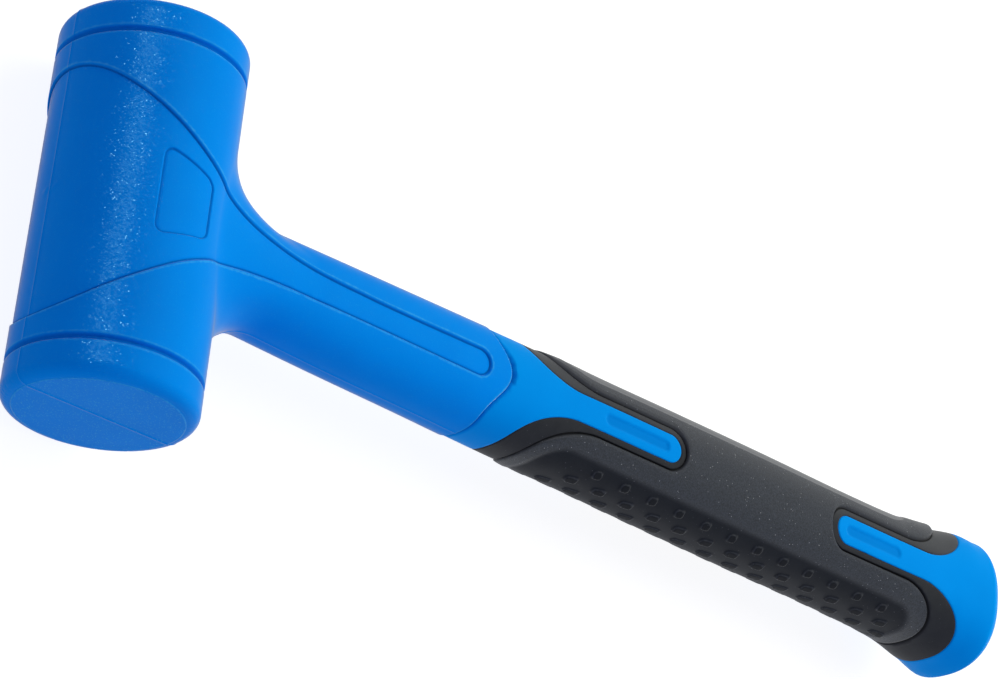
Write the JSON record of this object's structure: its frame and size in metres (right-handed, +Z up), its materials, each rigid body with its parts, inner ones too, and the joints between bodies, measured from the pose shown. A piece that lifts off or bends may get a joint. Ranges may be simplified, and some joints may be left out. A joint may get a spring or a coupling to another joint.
{
  "type": "dead blow hammer",
  "caption": "Dead blow hammer: a round moulded head over a steel canister of loose shot, on a rod-cored two-colour handle with a studded rubber grip and a flared butt.",
  "frame": {"origin": "on the ground below the middle of the hammer's box, with the hammer lying on its side", "axes": "+X along the handle from the head to the butt, Y along the axis of the head, +Z up through the thickness"},
  "size_m": [0.2852, 0.0846, 0.04],
  "materials": {
    "blue_shell": "moulded polyurethane with a fine sparkling grain",
    "blue_core": "smooth satin moulding",
    "black_grip": "matt thermoplastic rubber, spark-eroded grain on the pads",
    "canister_steel": "drawn tube, plain",
    "rod_steel": "cold drawn",
    "weld_metal": "as welded",
    "shot_steel": "tumbled steel shot"
  },
  "bodies": {
    "hammer": {"head_shell": "blue_shell", "handle_core": "blue_core", "grip_sleeve": "black_grip", "canister_tube": "canister_steel", "canister_cap_upper": "canister_steel", "canister_cap_lower": "canister_steel", "handle_rod": "rod_steel", "rod_weld": "weld_metal"},
    "shot": {"shot_01": "shot_steel", "shot_02": "shot_steel", "shot_03": "shot_steel", "shot_04": "shot_steel", "shot_05": "shot_steel", "shot_06": "shot_steel", "shot_07": "shot_steel", "shot_08": "shot_steel", "shot_09": "shot_steel", "shot_10": "shot_steel", "shot_11": "shot_steel", "shot_12": "shot_steel", "shot_13": "shot_steel", "shot_14": "shot_steel", "shot_15": "shot_steel", "shot_16": "shot_steel", "shot_17": "shot_steel", "shot_18": "shot_steel", "shot_19": "shot_steel", "shot_20": "shot_steel", "shot_21": "shot_steel", "shot_22": "shot_steel", "shot_23": "shot_steel", "shot_24": "shot_steel", "shot_25": "shot_steel", "shot_26": "shot_steel", "shot_27": "shot_steel", "shot_28": "shot_steel"}
  },
  "joints": [
    {"name": "shot_slide", "type": "slide", "parent": "hammer", "child": "shot", "axis": [0, 1, 0], "range_m": [-0.0138, 0.0138]}
  ]
}
